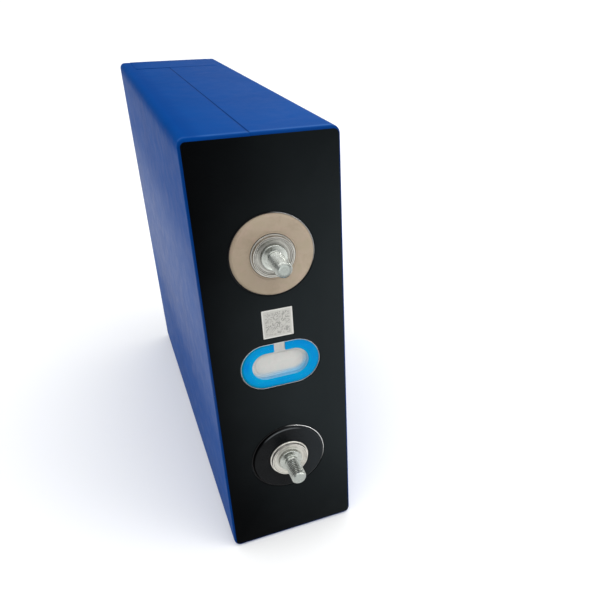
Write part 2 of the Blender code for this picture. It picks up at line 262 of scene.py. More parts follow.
# ------------------------------------------------------------------ material helper
class Paint:
    """A Principled material and short names for the nodes that it is made from. Lengths are in mm."""

    def __init__(self, name, rough=0.5, metal=0.0, colour=(0.5, 0.5, 0.5), **sockets):
        self.mat = bpy.data.materials.new(name)
        self.mat.use_nodes = True
        self.nt = self.mat.node_tree
        self.bsdf = self.nt.nodes["Principled BSDF"]
        self.set("Base Color", (*colour, 1))
        self.set("Roughness", rough)
        self.set("Metallic", metal)
        for k, v in sockets.items():
            self.set(k.replace("_", " "), v)
        tc = self.node("ShaderNodeTexCoord")
        sc = self.node("ShaderNodeVectorMath", operation="SCALE")
        sc.inputs["Scale"].default_value = 1000.0
        self.link(tc.outputs["Object"], sc.inputs[0])
        self.mm = sc.outputs[0]

    def set(self, name, value):
        self.bsdf.inputs[name].default_value = value

    def node(self, kind, **props):
        n = self.nt.nodes.new(kind)
        for k, v in props.items():
            setattr(n, k, v)
        return n

    def link(self, a, b):
        self.nt.links.new(a, b)

    def put(self, socket, value):
        if hasattr(value, "is_output"):
            self.link(value, socket)
        else:
            socket.default_value = value

    def noise(self, scale, detail=2.0, rough=0.5, vec=None, distortion=0.0, stretch=None):
        v = vec or self.mm
        if stretch:
            mp = self.node("ShaderNodeMapping")
            mp.inputs["Scale"].default_value = stretch
            self.link(v, mp.inputs["Vector"])
            v = mp.outputs[0]
        n = self.node("ShaderNodeTexNoise")
        self.link(v, n.inputs["Vector"])
        n.inputs["Scale"].default_value = scale
        n.inputs["Detail"].default_value = detail
        n.inputs["Roughness"].default_value = rough
        n.inputs["Distortion"].default_value = distortion
        return n.outputs[0]

    def voronoi(self, scale, feature="F1", vec=None, randomness=1.0, out="Distance"):
        n = self.node("ShaderNodeTexVoronoi", feature=feature)
        self.link(vec or self.mm, n.inputs["Vector"])
        n.inputs["Scale"].default_value = scale
        n.inputs["Randomness"].default_value = randomness
        return n.outputs[out]

    def maths(self, op, a, b=0.0, c=0.0, clamp=False):
        n = self.node("ShaderNodeMath", operation=op, use_clamp=clamp)
        self.put(n.inputs[0], a)
        self.put(n.inputs[1], b)
        if op in ("MULTIPLY_ADD", "COMPARE", "SMOOTH_MIN", "SMOOTH_MAX", "WRAP"):
            self.put(n.inputs[2], c)
        return n.outputs[0]

    def span(self, v, a, b, c=0.0, d=1.0, smooth=False):
        n = self.node("ShaderNodeMapRange", clamp=True)
        if smooth:
            n.interpolation_type = "SMOOTHSTEP"
        self.put(n.inputs["Value"], v)
        for k, x in (("From Min", a), ("From Max", b), ("To Min", c), ("To Max", d)):
            n.inputs[k].default_value = x
        return n.outputs[0]

    def ramp(self, fac, stops, ease="LINEAR"):
        n = self.node("ShaderNodeValToRGB")
        n.color_ramp.interpolation = ease
        el = n.color_ramp.elements
        while len(el) < len(stops):
            el.new(0.5)
        for e, (p, c) in zip(el, stops):
            e.position = p
            e.color = (*c, 1)
        self.link(fac, n.inputs[0])
        return n.outputs[0]

    def mix(self, fac, a, b, blend="MIX"):
        n = self.node("ShaderNodeMix", data_type="RGBA", blend_type=blend)
        self.put(n.inputs[0], fac)
        for s, v in ((n.inputs[6], a), (n.inputs[7], b)):
            if isinstance(v, tuple):
                v = (*v, 1) if len(v) == 3 else v
            self.put(s, v)
        return n.outputs[2]

    def xyz(self, origin=(0, 0, 0)):
        """x, y and z in mm from a point given in mm."""
        sub = self.node("ShaderNodeVectorMath", operation="SUBTRACT")
        self.link(self.mm, sub.inputs[0])
        sub.inputs[1].default_value = origin
        sep = self.node("ShaderNodeSeparateXYZ")
        self.link(sub.outputs[0], sep.inputs[0])
        return sep.outputs[0], sep.outputs[1], sep.outputs[2]

    def radius(self, centre):
        """Distance in mm from an axis along Y through a point."""
        x, _, z = self.xyz(tuple(centre))
        return self.maths("SQRT", self.maths("ADD", self.maths("MULTIPLY", x, x),
                                             self.maths("MULTIPLY", z, z)))

    def facing(self, centre, degrees, lo, hi):
        """1 on the side of an axis that looks towards an angle, counted from +X to +Z, and 0 away from it."""
        x, _, z = self.xyz(tuple(centre))
        a = math.radians(degrees)
        along = self.maths("ADD", self.maths("MULTIPLY", x, math.cos(a)), self.maths("MULTIPLY", z, math.sin(a)))
        return self.span(self.maths("DIVIDE", along, self.radius(centre)), lo, hi, 0.0, 1.0, smooth=True)

    def oval_out(self, centre, length, width):
        """Signed distance in mm outside an oval whose long axis is X."""
        x, _, z = self.xyz(tuple(centre))
        ax = self.maths("MAXIMUM", self.maths("SUBTRACT", self.maths("ABSOLUTE", x),
                                              (length - width) / 2), 0.0)
        d = self.maths("SQRT", self.maths("ADD", self.maths("MULTIPLY", ax, ax),
                                          self.maths("MULTIPLY", z, z)))
        return self.maths("SUBTRACT", d, width / 2)

    def attr(self, name):
        n = self.node("ShaderNodeAttribute", attribute_name=name)
        return n.outputs["Fac"]

    def bump(self, height, strength, distance_mm, after=None):
        n = self.node("ShaderNodeBump")
        n.inputs["Strength"].default_value = strength
        n.inputs["Distance"].default_value = distance_mm * MM
        self.link(height, n.inputs["Height"])
        if after:
            self.link(after, n.inputs["Normal"])
        return n.outputs[0]

    def to(self, socket, value):
        self.link(value, self.bsdf.inputs[socket])


# ------------------------------------------------------------------ materials, seen from outside
def film_paint():
    p = Paint("blue_pet_film")
    broad = p.noise(0.018, 2, 0.55)
    mid = p.noise(0.16, 3, 0.6)
    fine = p.noise(2.6, 3, 0.65)
    col = p.ramp(broad, [(0.32, (0.0012, 0.050, 0.240)), (0.68, (0.0030, 0.063, 0.282))])
    col = p.mix(p.span(mid, 0.35, 0.7, 0.0, 0.22), col, (0.004, 0.078, 0.310))
    col = p.mix(p.span(fine, 0.42, 0.72, 0.0, 0.12), col, (0.006, 0.088, 0.335))
    # painted highlight along the film's front edge, strongest on the top face
    col = p.mix(p.maths("MULTIPLY", p.attr("edge_highlight"), p.span(mid, 0.3, 0.6, 0.45, 0.9)), col, (0.050, 0.150, 0.42))
    # dark seam lines (dirt in the laps, deepened with painted shade) and painted shade on the roll over the lid's rim
    col = p.mix(p.span(p.attr("seam_and_rim_shade"), 0.0, 1.0, 0.0, 0.80), col, (0.0005, 0.010, 0.075))
    x, y, z = p.xyz((0, Y0, WIDTH * 0.56))
    # painted shade: the top face darker towards the back and towards the left
    far = p.span(p.maths("ADD", p.maths("MULTIPLY", y, 0.004), p.maths("MULTIPLY", x, -0.010)), -0.3, 1.0, 0.0, 0.42)
    col = p.mix(p.maths("MULTIPLY", far, p.span(z, 60.0, 74.0)), col, (0.0015, 0.036, 0.170))
    # painted shade: a darker band along the top face near its left edge
    band = p.span(p.maths("ABSOLUTE", p.maths("ADD", x, 21.8)), 0.5, 5.5, 0.45, 0.0, smooth=True)
    col = p.mix(p.maths("MULTIPLY", band, p.span(z, 72.0, 75.0)), col, (0.0004, 0.038, 0.205))
    p.to("Base Color", col)
    gloss = p.maths("ADD", p.maths("ABSOLUTE", z), p.maths("MULTIPLY", broad, 12.0))
    side = p.span(gloss, 12.0, 56.0, 0.033, 0.0048, smooth=True)
    top = p.maths("MULTIPLY", p.span(p.maths("ADD", x, p.maths("MULTIPLY", mid, 6.0)), -21.0, 14.0, 0.001, 0.0098),
                  p.span(z, 70.0, 74.0))
    side = p.maths("MULTIPLY", side, p.span(z, 70.0, 74.0, 1.0, 0.0))
    p.to("Specular IOR Level", p.maths("MAXIMUM", side, top))
    p.to("Roughness", p.span(p.maths("ADD", mid, p.maths("MULTIPLY", fine, 0.4)), 0.4, 1.0,
                             0.34, 0.46))
    b = p.bump(mid, 0.12, 0.08)
    b = p.bump(fine, 0.16, 0.010, b)
    p.to("Normal", b)
    return p.mat


def sheet_paint():
    p = Paint("black_lid_sheet")
    broad = p.noise(0.05, 2, 0.5)
    grain = p.noise(3.2, 3, 0.6)
    col = p.ramp(broad, [(0.3, (0.0008, 0.0009, 0.0011)), (0.7, (0.0016, 0.0019, 0.0022))])
    col = p.mix(p.span(grain, 0.55, 0.8, 0.0, 0.35), col, (0.004, 0.005, 0.0055))
    # painted reflection: a soft lighter bloom towards the middle of the sheet's right-hand edge
    x, _, z = p.xyz((HALF + 4, Y0, WIDTH * 0.50))
    away = p.maths("SQRT", p.maths("ADD", p.maths("MULTIPLY", p.maths("MULTIPLY", x, 1.9),
                                                  p.maths("MULTIPLY", x, 1.9)),
                                   p.maths("MULTIPLY", z, z)))
    away = p.maths("ADD", away, p.maths("MULTIPLY", p.noise(0.03, 3, 0.6), 26.0))
    col = p.mix(p.span(away, 45.0, 145.0, 1.0, 0.0, smooth=True), col, (0.0118, 0.0152, 0.0166))
    p.to("Base Color", col)
    p.to("Specular IOR Level", p.span(away, 45.0, 150.0, 0.034, 0.012, smooth=True))
    p.to("Roughness", p.span(p.noise(0.3, 3, 0.6), 0.3, 0.7, 0.38, 0.50))
    b = p.bump(broad, 0.25, 0.25)
    b = p.bump(grain, 0.25, 0.010, b)
    p.to("Normal", b)
    return p.mat


def beige_paint():
    p = Paint("beige_moulded_plastic", Specular_IOR_Level=0.3)
    cloud = p.noise(0.17, 3, 0.6, distortion=0.6)
    warm = p.noise(0.30, 2, 0.5, stretch=(1.0, 1.0, 1.4))
    speck = p.voronoi(0.9)
    fine = p.noise(5.0, 3, 0.6)
    col = p.ramp(cloud, [(0.30, (0.285, 0.226, 0.160)), (0.52, (0.335, 0.268, 0.196)),
                         (0.75, (0.302, 0.252, 0.172))])
    col = p.mix(p.span(warm, 0.52, 0.72, 0.0, 0.55), col, (0.368, 0.270, 0.212))
    col = p.mix(p.span(speck, 0.0, 0.16, 0.35, 0.0), col, (0.20, 0.155, 0.10))
    col = p.mix(p.span(fine, 0.5, 0.8, 0.0, 0.18), col, (0.42, 0.36, 0.28))
    # painted shade: the washer darker towards its lower left
    x, _, z = p.xyz(tuple(POS))
    low = p.span(p.maths("ADD", x, p.maths("MULTIPLY", z, 0.7)), -14.0, 2.0, 0.42, 0.0, smooth=True)
    col = p.mix(low, col, (0.215, 0.166, 0.112))
    p.to("Base Color", col)
    p.to("Roughness", p.span(fine, 0.3, 0.7, 0.40, 0.52))
    b = p.bump(cloud, 0.25, 0.12)
    b = p.bump(fine, 0.22, 0.012, b)
    p.to("Normal", b)
    return p.mat


def black_moulding_paint():
    p = Paint("black_moulded_plastic")
    cloud = p.noise(0.22, 3, 0.6)
    fine = p.noise(4.5, 3, 0.6)
    col = p.ramp(cloud, [(0.3, (0.0022, 0.0026, 0.0031)), (0.7, (0.0038, 0.0044, 0.0052))])
    col = p.mix(p.span(fine, 0.55, 0.8, 0.0, 0.4), col, (0.009, 0.010, 0.011))
    # painted light: the washer lighter towards its right
    x, _, _ = p.xyz(tuple(NEG))
    col = p.mix(p.span(x, -3.0, 12.0, 0.0, 0.8, smooth=True), col, (0.0125, 0.0155, 0.0180))
    # painted shade on the washer's outer wall on the left, with less gloss there
    r = p.radius(NEG)
    wall = p.maths("MULTIPLY", p.span(r, 14.35, 14.65, 0.0, 1.0), p.facing(NEG, 160, 0.35, 0.8))
    col = p.mix(wall, col, (0.0004, 0.0004, 0.0005))
    p.to("Specular IOR Level", p.span(wall, 0.0, 1.0, 0.075, 0.008))
    # painted highlight on the washer's rounded rim, towards the top
    rim_highlight = p.maths("MULTIPLY", p.span(r, 14.1, 14.35, 0.0, 1.0), p.span(r, 14.45, 14.7, 1.0, 0.0))
    col = p.mix(p.maths("MULTIPLY", rim_highlight, p.facing(NEG, 100, 0.80, 0.98)), col, (0.085, 0.09, 0.095))
    p.to("Base Color", col)
    p.to("Roughness", p.span(fine, 0.3, 0.7, 0.22, 0.32))
    b = p.bump(cloud, 0.2, 0.12)
    b = p.bump(fine, 0.2, 0.010, b)
    p.to("Normal", b)
    return p.mat


def pad_paint(name, centre, t=1.0, w=1.0):
    """Turned aluminium: concentric tool marks, a little weld haze near the stud."""
    p = Paint(name, metal=1.0)
    r = p.radius(centre)
    marks = p.maths("SINE", p.maths("MULTIPLY", r, 2 * math.pi / 0.30))
    wide = p.maths("SINE", p.maths("MULTIPLY", p.maths("ADD", r, p.noise(0.5)), 2 * math.pi / 1.15))
    haze = p.noise(0.55, 3, 0.6)
    fine = p.noise(6.0, 3, 0.7)
    col = p.ramp(haze, [(0.3, (0.37 * t, 0.355 * t, 0.325 * t)), (0.55, (0.46 * t, 0.445 * t, 0.41 * t)),
                        (0.8, (0.41 * t, 0.39 * t, 0.35 * t))])
    # painted shade in the turned groove
    groove = p.maths("MULTIPLY", p.span(r, 6.84, 6.92, 0.0, 1.0), p.span(r, 7.12, 7.20, 1.0, 0.0))
    col = p.mix(p.maths("MULTIPLY", groove, 0.6), col, (0.12, 0.115, 0.10))
    weld = p.span(r, 4.6, 6.4, 0.62, 0.0, smooth=True)
    col = p.mix(weld, col, (0.24 * w, 0.245 * w, 0.22 * w))
    p.to("Base Color", col)
    ro = p.maths("ADD", p.span(haze, 0.3, 0.7, 0.26, 0.40), p.maths("MULTIPLY", weld, 0.22))
    p.to("Roughness", p.maths("ADD", ro, p.maths("MULTIPLY", fine, 0.06)))
    b = p.bump(marks, 0.32, 0.012)
    b = p.bump(wide, 0.25, 0.03, b)
    b = p.bump(fine, 0.18, 0.008, b)
    p.to("Normal", b)
    return p.mat


def stud_paint(name, centre, tip_at, root_shade_depth, t=1.0):
    """Zinc-plated steel with a faint green-grey cast and handling marks."""
    p = Paint(name, metal=1.0)
    haze = p.noise(0.9, 3, 0.6)
    fine = p.noise(7.0, 3, 0.7)
    col = p.ramp(haze, [(0.3, (0.33, 0.345, 0.315)), (0.6, (0.43, 0.445, 0.415)),
                        (0.8, (0.36, 0.385, 0.355))])
    col = p.mix(p.span(fine, 0.5, 0.8, 0.0, 0.25), col, (0.34, 0.34, 0.31))
    _, y, _ = p.xyz((centre.x, Y0, centre.z))
    # painted shade in the thread roots along the threaded length
    on = p.maths("MULTIPLY", p.span(y, -6.4, -5.2, 1.0, 0.0), p.maths("GREATER_THAN", y, -tip_at + 0.8))
    root = p.span(p.radius(centre), 2.50, 2.96, root_shade_depth, 0.0, smooth=True)
    col = p.mix(p.maths("MULTIPLY", root, on), col, (0.030, 0.031, 0.028))
    tip = p.span(y, -tip_at, 0.6 - tip_at, 1.0, 0.0)
    col = p.mix(tip, col, (0.255 * t, 0.272 * t, 0.256 * t))
    p.to("Base Color", col)
    p.to("Roughness", p.span(p.maths("ADD", haze, p.maths("MULTIPLY", fine, 0.5)), 0.5, 1.1,
                             0.20, 0.36))
    b = p.bump(haze, 0.2, 0.03)
    b = p.bump(fine, 0.22, 0.008, b)
    p.to("Normal", b)
    return p.mat


def lid_paint(name="lid_aluminium", rough=(0.26, 0.40), tone=1.0):
    p = Paint(name, metal=1.0)
    haze = p.noise(0.12, 3, 0.6)
    roll = p.noise(1.2, 3, 0.6, stretch=(6.0, 6.0, 0.25))
    fine = p.noise(5.0, 2, 0.6)
    t = tone
    col = p.ramp(haze, [(0.3, (0.75 * t, 0.735 * t, 0.705 * t)), (0.7, (0.84 * t, 0.82 * t, 0.79 * t))])
    col = p.mix(p.span(roll, 0.45, 0.75, 0.0, 0.3), col, (0.68 * t, 0.68 * t, 0.67 * t))
    # painted shade in the gap round the vent film
    edge = p.oval_out(tuple(VENT), 31.3, 19.4)
    line = p.maths("MULTIPLY", p.span(edge, -0.45, -0.30, 0.0, 1.0), p.span(edge, 0.5, 0.7, 1.0, 0.0))
    col = p.mix(p.maths("MULTIPLY", line, 0.94), col, (0.012, 0.020, 0.028))
    # painted shade on the lid in the gaps round each washer and its bead
    for c in (POS, NEG):
        r = p.radius(c)
        washer_gap_shade = p.maths("MULTIPLY", p.span(r, 14.2, 14.5, 0.0, 1.0), p.span(r, 16.3, 16.6, 1.0, 0.0))
        col = p.mix(p.maths("MULTIPLY", washer_gap_shade, 0.97), col, (0.008, 0.009, 0.011))
    p.to("Base Color", col)
    p.to("Roughness", p.span(roll, 0.3, 0.7, *rough))
    b = p.bump(roll, 0.25, 0.012)
    b = p.bump(fine, 0.12, 0.006, b)
    p.to("Normal", b)
    return p.mat


def bead_paint(name, centre, glint_strength):
    """The lid's raised bead: near black, standing for the shaded gap round the washer, with a painted glint of bare
    metal on one side.
    """
    p = Paint(name, Specular_IOR_Level=0.16)
    n = p.noise(0.4, 3, 0.6)
    f = p.noise(5.0, 3, 0.6)
    # painted glint towards the upper right
    painted_glint = p.maths("MULTIPLY", p.facing(centre, 34, 0.50, 0.93), glint_strength)
    painted_glint = p.maths("MULTIPLY", painted_glint, p.span(p.radius(centre), 15.20, 15.27, 0.25, 1.0))
    col = p.ramp(n, [(0.3, (0.004, 0.004, 0.0045)), (0.7, (0.009, 0.009, 0.010))])
    p.to("Base Color", p.mix(painted_glint, col, (0.80, 0.80, 0.79)))
    p.to("Metallic", p.span(painted_glint, 0.05, 0.4))
    p.to("Roughness", p.span(f, 0.3, 0.7, 0.14, 0.26))
    p.to("Normal", p.bump(f, 0.10, 0.004))
    return p.mat


def well_paint():
    """The wall of the vent opening: painted blue light, as from the blue film round it, paler towards the top."""
    p = Paint("vent_well", rough=0.4, Specular_IOR_Level=0.5)
    n = p.noise(0.7, 3, 0.6)
    _, _, z = p.xyz(tuple(VENT))
    col = p.ramp(n, [(0.3, (0.10, 0.34, 0.55)), (0.7, (0.20, 0.44, 0.62))])
    col = p.mix(p.span(z, -4.5, 3.0, 0.0, 0.55), col, (0.55, 0.60, 0.62))
    p.to("Base Color", col)
    p.to("Normal", p.bump(n, 0.2, 0.02))
    return p.mat


def disc_paint():
    """The vent's membrane: pale etched aluminium, with painted blue light from the film on its lower right."""
    p = Paint("vent_membrane", Specular_IOR_Level=0.2)
    n = p.noise(0.4, 3, 0.6)
    f = p.noise(4.0, 3, 0.6)
    edge = p.oval_out(tuple(VENT), 22.4, 11.6)
    x, _, z = p.xyz(tuple(VENT))
    # painted blue light along the lower right edge
    low = p.maths("ADD", p.maths("MULTIPLY", z, -0.16), p.maths("MULTIPLY", x, 0.045), clamp=True)
    near = p.span(edge, -3.0, -0.2, 0.0, 1.0, smooth=True)
    col = p.ramp(n, [(0.3, (0.475, 0.46, 0.44)), (0.5, (0.505, 0.49, 0.465)), (0.7, (0.46, 0.48, 0.45))])
    col = p.mix(p.span(f, 0.45, 0.8, 0.0, 0.2), col, (0.40, 0.40, 0.39))
    col = p.mix(p.maths("MULTIPLY", near, low, clamp=True), col, (0.18, 0.44, 0.64))
    p.to("Base Color", col)
    p.to("Roughness", p.span(f, 0.3, 0.7, 0.42, 0.55))
    p.to("Normal", p.bump(f, 0.18, 0.01, p.bump(n, 0.2, 0.05)))
    return p.mat


def ring_paint():
    """Blue adhesive film: azure, with a teal outer margin and faint streaks along it."""
    p = Paint("blue_adhesive_film", Specular_IOR_Level=0.02)
    edge = p.oval_out(tuple(VENT), 30.5, 18.6)
    x, _, z = p.xyz(tuple(VENT))
    cloud = p.noise(0.13, 2, 0.5)
    streak = p.noise(0.9, 3, 0.6, stretch=(0.5, 1.0, 2.6))
    col = p.ramp(cloud, [(0.3, (0.0, 0.170, 0.48)), (0.5, (0.0, 0.205, 0.48)),
                         (0.7, (0.0, 0.235, 0.48))])
    inner = p.span(edge, -3.6, -2.2, 0.75, 0.0, smooth=True)
    col = p.mix(inner, col, (0.0, 0.255, 0.48))
    outer = p.span(edge, -1.0, -0.45, 0.0, 1.0, smooth=True)
    left = p.span(x, -14.5, 4.0, 1.0, 0.15)
    col = p.mix(p.maths("MULTIPLY", outer, left), col, (0.0, 0.165, 0.27))
    col = p.mix(p.span(streak, 0.52, 0.8, 0.0, 0.35), col, (0.002, 0.27, 0.56))
    p.to("Base Color", col)
    p.to("Roughness", p.span(cloud, 0.3, 0.7, 0.26, 0.36))
    p.to("Normal", p.bump(streak, 0.25, 0.03))
    return p.mat


def clear_paint():
    """Clear protective film. Only its rim shows white: the cut edge, brightened with a painted highlight."""
    p = Paint("clear_vent_film", Specular_IOR_Level=0.03)
    edge = p.oval_out(tuple(VENT), 31.0, 19.1)
    n = p.noise(0.25, 2, 0.5)
    f = p.noise(2.5, 3, 0.6)
    p.to("Base Color", p.ramp(f, [(0.3, (0.86, 0.90, 0.93)), (0.7, (0.95, 0.97, 0.98))]))
    # the white rim: the cut edge, brightened with a painted highlight
    rim = p.span(edge, -0.13, -0.05, 0.0, 1.0, smooth=True)
    p.to("Alpha", p.maths("ADD", p.maths("MULTIPLY", rim, 0.60),
                          p.span(f, 0.3, 0.8, 0.0, 0.0012), clamp=True))
    p.to("Roughness", p.span(n, 0.3, 0.7, 0.16, 0.28))
    p.to("Normal", p.bump(n, 0.25, 0.10, p.bump(f, 0.04, 0.004)))
    p.mat.surface_render_method = "BLENDED"
    return p.mat


def label_paint():
    """Silvery label with a painted highlight along its bevelled edge and a made-up mosaic of cells that encodes
    nothing.
    """
    p = Paint("code_label_foil", rough=0.45, Specular_IOR_Level=0.2)
    x, _, z = p.xyz(tuple(LABEL))
    cell = 0.42
    gx = p.maths("SNAP", x, cell)
    gz = p.maths("SNAP", z, cell)
    comb = p.node("ShaderNodeCombineXYZ")
    p.link(gx, comb.inputs[0])
    p.link(gz, comb.inputs[2])
    wn = p.node("ShaderNodeTexWhiteNoise", noise_dimensions="3D")
    p.link(comb.outputs[0], wn.inputs["Vector"])
    dots = p.maths("GREATER_THAN", wn.outputs["Value"], 0.5)
    ax = p.maths("ABSOLUTE", x)
    az = p.maths("ABSOLUTE", z)
    inside = p.maths("LESS_THAN", p.maths("MAXIMUM", ax, az), 4.62)
    patch = p.noise(0.36, 3, 0.7)
    worn = p.span(patch, 0.38, 0.60, 0.28, 0.85)
    ink = p.maths("MULTIPLY", p.maths("MULTIPLY", dots, inside), worn)
    f = p.noise(3.0, 3, 0.6)
    col = p.ramp(f, [(0.3, (0.40, 0.39, 0.36)), (0.7, (0.46, 0.45, 0.42))])
    # painted highlight along the label's bevelled edge
    bevel_highlight = p.span(p.maths("MAXIMUM", ax, az), 5.25, 5.45, 0.0, 0.8)
    col = p.mix(bevel_highlight, col, (0.64, 0.635, 0.60))
    col = p.mix(ink, col, (0.215, 0.215, 0.20))
    p.to("Base Color", col)
    p.to("Roughness", p.span(f, 0.3, 0.7, 0.36, 0.5))
    p.to("Normal", p.bump(f, 0.15, 0.01, p.bump(ink, 0.3, 0.01)))
    return p.mat


M_FILM = film_paint()
M_SHEET = sheet_paint()
M_BEIGE = beige_paint()
M_BLACK = black_moulding_paint()
M_LID = lid_paint("lid_aluminium", (0.40, 0.54), 0.50)
M_WELL = well_paint()
M_DISC = disc_paint()
M_RING = ring_paint()
M_CLEAR = clear_paint()
M_LABEL = label_paint()


# ------------------------------------------------------------------ wrap film
FILM_R, FILM_T = 3.0, 0.2
RIM, RIM_S = 0.95, 1.9             # the roll over the lid's rim: inwards and along the depth
STRIP_X, STRIP_T = 21.0, 171.0     # base strip: half width, and where it ends on the narrow sides
LAP, LAP2 = 0.07, 0.14             # steps of one and two film thicknesses
SEAM_BASE, SEAM_FRONT = -4.0, -3.8


def lines(lo, hi, step, knots):
    """Grid lines from lo to hi, about a step apart, that pass through every knot."""
    ks = sorted({lo, hi, *[k for k in knots if lo < k < hi]})
    out = [lo]
    for a, b in zip(ks, ks[1:]):
        n = max(1, round((b - a) / step))
        out += [a + (b - a) * i / n for i in range(1, n + 1)]
    return out


def wrap_film():
    corner = [FILM_R * math.tan(math.radians(45 * k / 5)) for k in range(1, 6)]
    xi = HALF - FILM_R
    near = (-0.9, -0.3, -0.03, 0.03, 0.3, 0.9)
    xs = lines(-xi, xi, 3.2, [SEAM_BASE + d for d in near]
               + [s * STRIP_X + d for s in (-1, 1) for d in (-0.5, -0.05, 0.05, 0.5)])
    xs = [-xi - c for c in reversed(corner)] + xs + [xi + c for c in corner]
    zs = lines(FILM_R, WIDTH - FILM_R, 4.2, [])
    zs = [FILM_R - c for c in reversed(corner)] + zs + [WIDTH - FILM_R + c for c in corner]
    ts = lines(RIM_S, DEPTH - FILM_R, 4.2, [2.6, 3.8] + [STRIP_T + d for d in near])
    ts = ts + [DEPTH - FILM_R + c for c in corner]
    nx, nz, nt = len(xs) - 1, len(zs) - 1, len(ts) - 1

    def seam_at(t):
        return SEAM_BASE + (SEAM_FRONT - SEAM_BASE) * max(0.0, min(1.0, (STRIP_T - 6 - t) / (STRIP_T - 6)))

    def step(v, edge, width=0.04):
        return max(0.0, min(1.0, (v - edge) / width + 0.5))

    def spot(ix, it, iz, q):
        """Point q mm inside the film's outer face, and how dark it is drawn: seam lines, dirt in the laps with painted
        shade.
        """
        x, t, z = xs[ix], ts[it], zs[iz]
        cx = max(-xi, min(xi, x))
        cz = max(FILM_R, min(WIDTH - FILM_R, z))
        ct = min(DEPTH - FILM_R, t)
        d = Vector((x - cx, t - ct, z - cz))
        n = d.normalized()
        # the seam runs a little out of line, so the flat of the upper narrow side follows it
        sx = x
        if iz == nz and abs(x) <= xi + 1e-6:
            shift = seam_at(t) - SEAM_BASE
            w = 1 - abs(x - SEAM_BASE) / (xi + (SEAM_BASE if x < SEAM_BASE else -SEAM_BASE))
            sx = x + shift * max(0.0, w)
            cx = sx
        in_strip = (1 - step(abs(x), STRIP_X)) * step(t, STRIP_T)
        up, down, back = max(n.z, 0) ** 4, max(-n.z, 0) ** 4, max(n.y, 0) ** 4
        lap_top = LAP2 - (LAP2 - LAP) * step(x, SEAM_BASE)
        h = (1 - in_strip) * (up * lap_top + down * LAP)
        h += back * LAP * step(abs(x), STRIP_X)
        # slight crown of the broad faces, and the soft unevenness of film drawn over metal
        side = n.x * n.x
        v = (z - WIDTH / 2) / (WIDTH / 2)
        u = (t - DEPTH / 2) / (DEPTH / 2)
        h += side * 0.22 * (1 - (1 - v ** 4) * (1 - u ** 4))
        wob = noise.noise(Vector((x * 0.03, t * 0.02, z * 0.02)) + Vector((3.1, 0.7, 9.2)))
        h += 0.05 * (0.5 + 0.5 * wob) * (side + up * 0.6 + back * 0.6)
        # a few soft creases where the film is drawn round the base corners
        cr = max(0.0, 1 - (DEPTH - t) / 26.0) * max(0.0, 1 - (HALF - abs(x)) / 22.0)
        cr *= max(0.0, 1 - min(z, WIDTH - z) / 26.0)
        h += 0.14 * cr * (0.5 + 0.5 * noise.noise(Vector((x * 0.22, t * 0.30, z * 0.30))))
        flat = iz == nz and abs(x) < xi
        # dark seam lines along the laps and strip ends: dirt in the joints, deepened with painted shade
        groove = 0.0
        dark = 0.0
        if flat and t < STRIP_T - 0.02:
            g = abs(x - SEAM_BASE)
            if x < SEAM_BASE and g < 0.04:
                groove, dark = 0.05, 1.0
            elif g < 0.04:
                dark = 0.7
            elif x < SEAM_BASE and g < 0.31:
                dark = 0.45
        if (iz in (0, nz)) and abs(x) < STRIP_X and abs(t - STRIP_T) < 0.31 and t < STRIP_T + 0.04:
            fade = 1 - 0.65 * step(x, 14.0, 6.0)
            dark = max(dark, (1.0 if abs(t - STRIP_T) < 0.04 else 0.45) * fade)
            if t < STRIP_T and abs(t - STRIP_T) < 0.04:
                groove = 0.05
        if it == nt and abs(abs(x) - STRIP_X) < 0.08:
            dark = max(dark, 0.55)
        h += groove
        p = Vector((cx, ct, cz)) + n * (FILM_R - q - h)
        return Vector((p.x, Y0 + p.y, p.z)) * MM, n, dark

    verts, dark, edge_highlight, faces = [], [], [], []
    index = {}

    def vid(ix, it, iz, q):
        key = (ix, it, iz, q)
        if key not in index:
            p, n, dk = spot(ix, it, iz, q)
            index[key] = (len(verts), n)
            verts.append(p)
            dark.append(dk)
            t = ts[it]
            # painted highlight along the front edge, strongest where the film faces up
            front = 1.0 if t < RIM_S + 0.01 else 0.8 if t < 2.7 else 0.0
            edge_highlight.append(front * (0.7 if n.z > 0.7 else 0.15) if q == 0.0 else 0.0)
        return index[key][0]

    for q in (0.0, FILM_T):
        for iz in (0, nz):
            for ix in range(nx):
                for it in range(nt):
                    faces.append([vid(ix + a, it + b, iz, q) for a, b in ((0, 0), (1, 0), (1, 1), (0, 1))])
        for ix in (0, nx):
            for iz in range(nz):
                for it in range(nt):
                    faces.append([vid(ix, it + b, iz + a, q) for a, b in ((0, 0), (1, 0), (1, 1), (0, 1))])
        for ix in range(nx):
            for iz in range(nz):
                faces.append([vid(ix + a, nt, iz + b, q) for a, b in ((0, 0), (1, 0), (1, 1), (0, 1))])
    # the front edge rolls over the lid's rim and ends beside the black sheet
    loop = ([(i, 0) for i in range(nx)] + [(nx, i) for i in range(nz)]
            + [(nx - i, nz) for i in range(nx)] + [(0, nz - i) for i in range(nz)])
